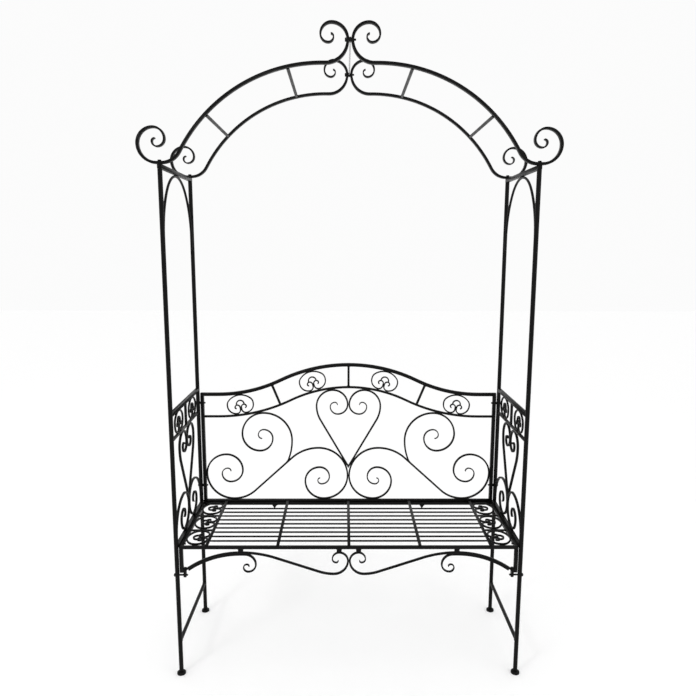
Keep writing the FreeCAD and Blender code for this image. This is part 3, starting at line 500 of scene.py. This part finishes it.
def turnedMesh(name, loops, hollow=False):
    mesh = bmesh.new()
    rings = []
    for kind, size, height in loops:
        ring = []
        for index in range(loopCount):
            # the nudge keeps corner points on one side of their corner
            x, y = loopPoint(kind, size, math.tau * index / loopCount + 1e-9)
            ring.append(mesh.verts.new((x * mm, y * mm, height * mm)))
        rings.append(ring)
    following = rings[1:] + rings[:1] if hollow else rings[1:]
    for lower, upper in zip(rings, following):
        for index in range(loopCount):
            after = (index + 1) % loopCount
            mesh.faces.new((lower[index], lower[after], upper[after], upper[index]))
    if not hollow:
        mesh.faces.new(rings[0])
        mesh.faces.new(rings[-1])
    bmesh.ops.recalc_face_normals(mesh, faces=mesh.faces)
    return dataOf(mesh, name)


def rowOf(part, places, axes, spans, sizes, finish):
    holder = newObject(part.name + "Part", part)
    base = pointMesh(part.name + "Points", places, axes, spans, sizes)
    result = bakedMesh(partRow, base, {"Part": holder, "Finish": finish})
    bpy.data.objects.remove(holder)
    return result


def joined(name, meshes, finish):
    whole = bmesh.new()
    for mesh in meshes:
        whole.from_mesh(mesh)
    data = dataOf(whole, name)
    finishMesh(data, finish, sharpAngle)
    return data


def islandsOf(nodeName):
    mesh = mergedMesh(nodeName)
    waiting = set(mesh.verts)
    boxes = []
    while waiting:
        group, edge = set(), [waiting.pop()]
        while edge:
            vert = edge.pop()
            group.add(vert)
            for link in vert.link_edges:
                other = link.other_vert(vert)
                if other in waiting:
                    waiting.discard(other)
                    edge.append(other)
        places = [vert.co for vert in group]
        low = Vector([min(place[axis] for place in places) for axis in range(3)])
        high = Vector([max(place[axis] for place in places) for axis in range(3)])
        boxes.append((low, high))
    mesh.free()
    return sorted(boxes, key=lambda box: [round(value, 5) for value in (*box[0], *box[1])])


fastener = dict(
    diameter=6.0, headHeight=4.0, domeWidth=11.0, flats=10.0, nutHeight=5.0,
    socket=3.6, socketDepth=1.8, spacerWidth=12.0, bore=0.05,
    headSunk=0.9,       # share of the head's height that the shank stops short of
    boltLength=15.0,    # a longer solid is a bolt, and a shorter one than the nut's is a washer
    nutLength=4.0, spacerLeast=11.8,
)
halfFlats, halfDome = fastener["flats"] / 2, fastener["domeWidth"] / 2
halfShank, halfNut = fastener["diameter"] / 2, fastener["nutHeight"] / 2
halfSocket, halfSpacer = fastener["socket"] / 2, fastener["spacerWidth"] / 2
headBase = -fastener["headHeight"]
boreRadius = halfShank + fastener["bore"]
bore = [("round", boreRadius, 0.5), ("round", boreRadius, -0.5)]

# Each outline gives a shape, its half width and its height, from the base up.
domeHead = turnedMesh("domeHead", [
    ("round", halfDome - 0.2, headBase), ("round", halfDome, headBase + 0.25),
    ("round", halfDome, headBase + 1.0), ("round", halfDome * 0.94, headBase + 2.0),
    ("round", halfDome * 0.80, headBase + 3.0), ("round", halfDome * 0.62, headBase + 3.7),
    ("round", halfDome * 0.46, 0.0), ("hex", halfSocket, -0.05),
    ("hex", halfSocket * 0.96, -fastener["socketDepth"])])
hexHead = turnedMesh("hexHead", [
    ("hex", halfFlats * 0.97, headBase), ("hex", halfFlats, headBase + 0.2),
    ("hex", halfFlats, -0.8), ("round", halfFlats * 0.98, -0.35),
    ("round", halfFlats * 0.92, 0.0)])
hexNut = turnedMesh("hexNut", [
    ("round", halfFlats * 0.94, -halfNut), ("hex", halfFlats, 0.7 - halfNut),
    ("hex", halfFlats, halfNut - 0.7), ("round", halfFlats * 0.94, halfNut),
    ("round", halfShank + 0.5, halfNut), ("round", halfShank, halfNut - 0.5),
    ("round", halfShank, 0.5 - halfNut), ("round", halfShank + 0.5, -halfNut)], hollow=True)
shank = turnedMesh("shank", [
    ("round", halfShank - 0.4, 0.0), ("round", halfShank, 0.02 * unitLength),
    ("round", halfShank, unitLength)])
washer = turnedMesh("washer", [
    ("round", halfFlats - 0.2, -0.5), ("round", halfFlats, -0.4),
    ("round", halfFlats, 0.4), ("round", halfFlats - 0.2, 0.5)] + bore, hollow=True)
spacer = turnedMesh("spacer", [
    ("square", halfSpacer - 0.4, -0.5), ("square", halfSpacer, -0.44),
    ("square", halfSpacer, 0.44), ("square", halfSpacer - 0.4, 0.5)] + bore, hollow=True)


def fastenerPiece(nodeName, axisIndex, headKind, headSide):
    heads, shanks, nuts, washers, spacers = [], [], [], [], []
    for low, high in islandsOf(nodeName):
        middle, size = (low + high) / 2, high - low
        length, across = size[axisIndex], size[(axisIndex + 1) % 3]
        way = headSide(middle)
        if length > fastener["boltLength"] * mm:
            sunk = fastener["headHeight"] * mm * fastener["headSunk"]
            heads.append((middle + way * length / 2, way, 1.0))
            shanks.append((middle - way * length / 2, way, length - sunk))
        elif across > fastener["spacerLeast"] * mm:
            spacers.append((middle, way, length / mm))
        elif length > fastener["nutLength"] * mm:
            nuts.append((middle, way, 1.0))
        else:
            washers.append((middle, way, length / mm))
    parts = ((headKind, heads), (shank, shanks), (hexNut, nuts), (washer, washers),
             (spacer, spacers))
    finish = finishes["fastener_black"]
    meshes = []
    for part, rows in parts:
        if rows:
            places, axes, spans = zip(*rows)
            meshes.append(rowOf(part, places, axes, spans, [1.0] * len(rows), finish))
    name = camelName(nodeName)
    finishPiece(name, joined(name, meshes, finish), (nodeName,))


def outward(middle):
    return left if middle.x < 0 else right


fastenerPiece("panel_bolts", 0, domeHead, outward)
fastenerPiece("seat_frame_bolts", 0, domeHead, outward)
fastenerPiece("crown_bolts", 0, hexHead, lambda middle: left)
fastenerPiece("arch_bolts", 2, hexHead, lambda middle: upward)
print("fasteners made")

rungBar = dict(diameter=10.0)
rungRadius = rungBar["diameter"] / 2
rung = turnedMesh("rung", [("round", rungRadius, 0.0), ("round", rungRadius, unitLength)])
rungBoxes = islandsOf("arch_rungs")
rungStarts = [Vector(((low.x + high.x) / 2, low.y, (low.z + high.z) / 2)) for low, high in rungBoxes]
rungSpans = [high.y - low.y for low, high in rungBoxes]
rungCount = len(rungStarts)
rungMesh = rowOf(rung, rungStarts, [-ahead] * rungCount, rungSpans, [1.0] * rungCount,
                 finishes["frame_black"])
finishPiece("archRungs", joined("archRungs", [rungMesh], finishes["frame_black"]),
            ("arch_rungs",))

# Weld collars round the ends of rods, and beads in the corners where bars meet.

weld = dict(
    collarShare=0.24, collarRipples=10, collarSwell=0.16, collarTurns=60, collarSides=8,
    collarSunk=0.2,
    beadRadius=1.5, beadRipples=5, beadSwell=0.13, beadSteps=18, beadEnd=0.25,
    beadBlunt=6,                  # the higher, the blunter the bead's ends
    contact=0.30, together=14.0,  # millimetres between surfaces, and across one joint
    sampling=3.0, mostSteps=24,
    steepest=0.7,                 # a joint that faces along the bead has none
    narrowest=2.0, beyond=0.4, widthShare=0.96,
)


def collarPart():
    mesh = bmesh.new()
    turns, around = weld["collarTurns"], weld["collarSides"]
    rings = []
    for index in range(turns):
        turn = math.tau * index / turns
        ripple = weld["collarSwell"] * math.sin(turn * weld["collarRipples"])
        swell = weld["collarShare"] * (1 + ripple)
        ring = []
        for corner in range(around):
            tilt = math.tau * corner / around
            reach = 1 + swell * math.cos(tilt)
            place = (reach * math.cos(turn), reach * math.sin(turn), swell * math.sin(tilt))
            ring.append(mesh.verts.new(place))
        rings.append(ring)
    for index in range(turns):
        first, second = rings[index], rings[(index + 1) % turns]
        for corner in range(around):
            after = (corner + 1) % around
            mesh.faces.new((first[corner], second[corner], second[after], first[after]))
    bmesh.ops.recalc_face_normals(mesh, faces=mesh.faces)
    return dataOf(mesh, "collar")


def beadPart():
    loops = []
    for index in range(weld["beadSteps"] + 1):
        share = index / weld["beadSteps"]
        dome = math.sqrt(max(0.0, 1 - (2 * share - 1) ** weld["beadBlunt"]))
        ripple = weld["beadSwell"] * math.sin(share * math.tau * weld["beadRipples"])
        swell = weld["beadEnd"] + (1 - weld["beadEnd"]) * dome * (1 + ripple)
        loops.append(("round", swell * unitLength, (share - 0.5) * unitLength))
    return turnedMesh("bead", loops)


def surfaceSamples(nodeName):
    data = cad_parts[nodeName].data
    spacing = weld["sampling"] * mm
    for face in data.polygons:
        corners = [data.vertices[index].co for index in face.vertices]
        longest = max((corners[index] - corners[index - 1]).length for index in range(3))
        steps = max(1, min(weld["mostSteps"], round(longest / spacing)))
        for first in range(steps + 1):
            for second in range(steps + 1 - first):
                a, b = first / steps, second / steps
                yield corners[0] * a + corners[1] * b + corners[2] * (1 - a - b)


def surfaceOf(nodeName):
    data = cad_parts[nodeName].data
    places = [vert.co for vert in data.vertices]
    return BVHTree.FromPolygons(places, [face.vertices[:] for face in data.polygons])


def contactGroups(sampledName, otherName):
    surface = surfaceOf(otherName)
    groups = []
    for place in surfaceSamples(sampledName):
        found = surface.find_nearest(place, weld["contact"] * mm)
        if found[0] is None:
            continue
        for group in groups:
            if (group["first"] - place).length < weld["together"] * mm:
                group["places"].append(place.copy())
                break
        else:
            places = [place.copy()]
            groups.append({"first": place.copy(), "places": places, "normal": found[1]})
    return groups


def beadRows(pairs, axis):
    rows = []
    for sampledName, otherName in pairs:
        for group in contactGroups(sampledName, otherName):
            normal = group["normal"]
            if abs(normal.dot(axis)) > weld["steepest"]:
                continue
            tangent = normal.cross(axis).normalized()
            middle = sum(group["places"], Vector()) / len(group["places"])
            alongs = [(place - middle).dot(tangent) for place in group["places"]]
            widths = [(place - middle).dot(axis) for place in group["places"]]
            width = max(widths) - min(widths)
            if width < weld["narrowest"] * mm:
                continue
            centre = middle + axis * (max(widths) + min(widths)) / 2
            beyond = weld["beyond"] * mm
            for reach in (max(alongs) + beyond, min(alongs) - beyond):
                rows.append((centre + tangent * reach, axis, width * weld["widthShare"]))
    return rows


backPairs = [
    ("back_rings", "back_second_rail"), ("back_rings", "back_top_rail"),
    ("back_dividers", "back_second_rail"), ("back_dividers", "back_top_rail"),
    ("seat_lugs", "seat_rear_rail")]
frontPairs = [("apron_studs", "seat_front_rail")]
sidePairs, seatPairs = [], [("seat_slats", "seat_bars")]
for side in sides:
    scroll, branch = side + "_back_s_scroll", side + "_back_branch_scroll"
    heart, apron = side + "_back_heart_half", side + "_apron_scroll"
    spirals, armRail = side + "_arm_spirals", side + "_arm_rail"
    backPairs += [
        (scroll, "back_bottom_rail"), (scroll, side + "_back_upright"), (branch, scroll),
        (branch, "back_second_rail"), (heart, "back_second_rail"), (heart, scroll)]
    frontPairs += [("apron_studs", apron), ("apron_curls", apron), (apron, "apron_lugs")]
    sidePairs += [
        (spirals, side + "_seat_bearer"), (spirals, side + "_front_post"),
        (spirals, side + "_rear_post"), ("arm_hearts", spirals),
        ("arm_rings", armRail), ("arm_dividers", armRail)]
sidePairs += [(name, "arm_lower_rails") for name in ("arm_hearts", "arm_rings", "arm_dividers")]
beads = beadRows(backPairs + frontPairs, -ahead)
beads += beadRows(sidePairs, right) + beadRows(seatPairs, right)
beadPlaces, beadAxes, beadSpans = zip(*beads)
beadSizes = [weld["beadRadius"] * mm] * len(beads)
beadMesh = rowOf(beadPart(), beadPlaces, beadAxes, beadSpans, beadSizes, beadPaint)
finishPiece("weldBeads", joined("weldBeads", [beadMesh], beadPaint))
print("weld beads made:", len(beads))

collars = []    # place, axis, radius of the rod
for start, span in zip(rungStarts, rungSpans):
    for reach in (0.0, span):
        collars.append((start - ahead * reach, -ahead, rungRadius * mm))
for side in sides:
    low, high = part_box(side + "_leg_stretcher")
    radius = (high.z - low.z) / 2
    middle = (low + high) / 2
    for way in (-1, 1):
        place = Vector((middle.x, way * (high.y - radius * weld["collarSunk"]), middle.z))
        collars.append((place, -ahead, radius))
collarPlaces, collarAxes, collarSizes = zip(*collars)
collarMesh = rowOf(collarPart(), collarPlaces, collarAxes, collarSizes, collarSizes, beadPaint)
finishPiece("weldCollars", joined("weldCollars", [collarMesh], beadPaint))
print("weld collars made:", len(collars))

# Camera.

cameraLook = dict(
    lens=32.347, sensor=36.0, clip=(0.05, 100.0),
    place=(-0.01613, -2.05057, 1.38258), pitch=9.0217, yaw=0.3582, roll=-0.1325)


def studioCamera():
    pitch, yaw, roll = (math.radians(cameraLook[key]) for key in ("pitch", "yaw", "roll"))
    level = math.cos(pitch)
    forward = Vector((math.sin(yaw) * level, math.cos(yaw) * level, -math.sin(pitch)))
    across = Vector((math.cos(yaw), -math.sin(yaw), 0))
    down = forward.cross(across)
    rolledAcross = across * math.cos(roll) + down * math.sin(roll)
    rolledDown = down * math.cos(roll) - across * math.sin(roll)
    data = bpy.data.cameras.new("studioCamera")
    data.lens = cameraLook["lens"]
    data.sensor_width = cameraLook["sensor"]
    data.clip_start, data.clip_end = cameraLook["clip"]
    camera = newObject("studioCamera", data)
    turn = Matrix((rolledAcross, -rolledDown, -forward)).transposed()
    camera.matrix_world = Matrix.Translation(Vector(cameraLook["place"])) @ turn.to_4x4()
    bpy.context.scene.camera = camera


studioCamera()

# Studio.

studio = dict(
    floorTone=0.90, floorRoughness=0.9, floorLift=0.11, floorReach=12.0,
    worldTone=1.0, worldStrength=0.97,
    keyPlace=(-2.2, -2.6, 3.2), keyPower=26.0,
    fillPlace=(2.6, -1.8, 1.8), fillPower=8.0,
    lampTarget=(0, 0, 0.9), lampSize=0.7,
)


def studioFloor():
    mesh = bpy.data.meshes.new("studioFloor")
    reach = studio["floorReach"]
    corners = [(-reach, -reach, 0), (reach, -reach, 0), (reach, reach, 0), (-reach, reach, 0)]
    mesh.from_pydata(corners, [], [(0, 1, 2, 3)])
    floor = newObject("studioFloor", mesh)
    material = bpy.data.materials.new("paleFloor")
    material.use_nodes = True
    shader = material.node_tree.nodes["Principled BSDF"]
    shader.inputs["Base Color"].default_value = grey(studio["floorTone"])
    shader.inputs["Roughness"].default_value = studio["floorRoughness"]
    shader.inputs["Emission Color"].default_value = grey(1.0)
    shader.inputs["Emission Strength"].default_value = studio["floorLift"]
    mesh.materials.append(material)


def studioLamp(name, place, power):
    data = bpy.data.lights.new(name, "AREA")
    data.energy, data.size = power, studio["lampSize"]
    lamp = newObject(name, data)
    lamp.location = place
    way = Vector(studio["lampTarget"]) - Vector(place)
    lamp.rotation_euler = way.to_track_quat("-Z", "Y").to_euler()


def studioWorld():
    world = bpy.data.worlds.new("studioWorld")
    world.use_nodes = True
    background = world.node_tree.nodes["Background"]
    background.inputs["Color"].default_value = grey(studio["worldTone"])
    background.inputs["Strength"].default_value = studio["worldStrength"]
    bpy.context.scene.world = world


studioFloor()
studioWorld()
bpy.context.scene.view_settings.view_transform = "Standard"
studioLamp("keyLight", studio["keyPlace"], studio["keyPower"])
studioLamp("fillLight", studio["fillPlace"], studio["fillPower"])
print("camera and studio set")
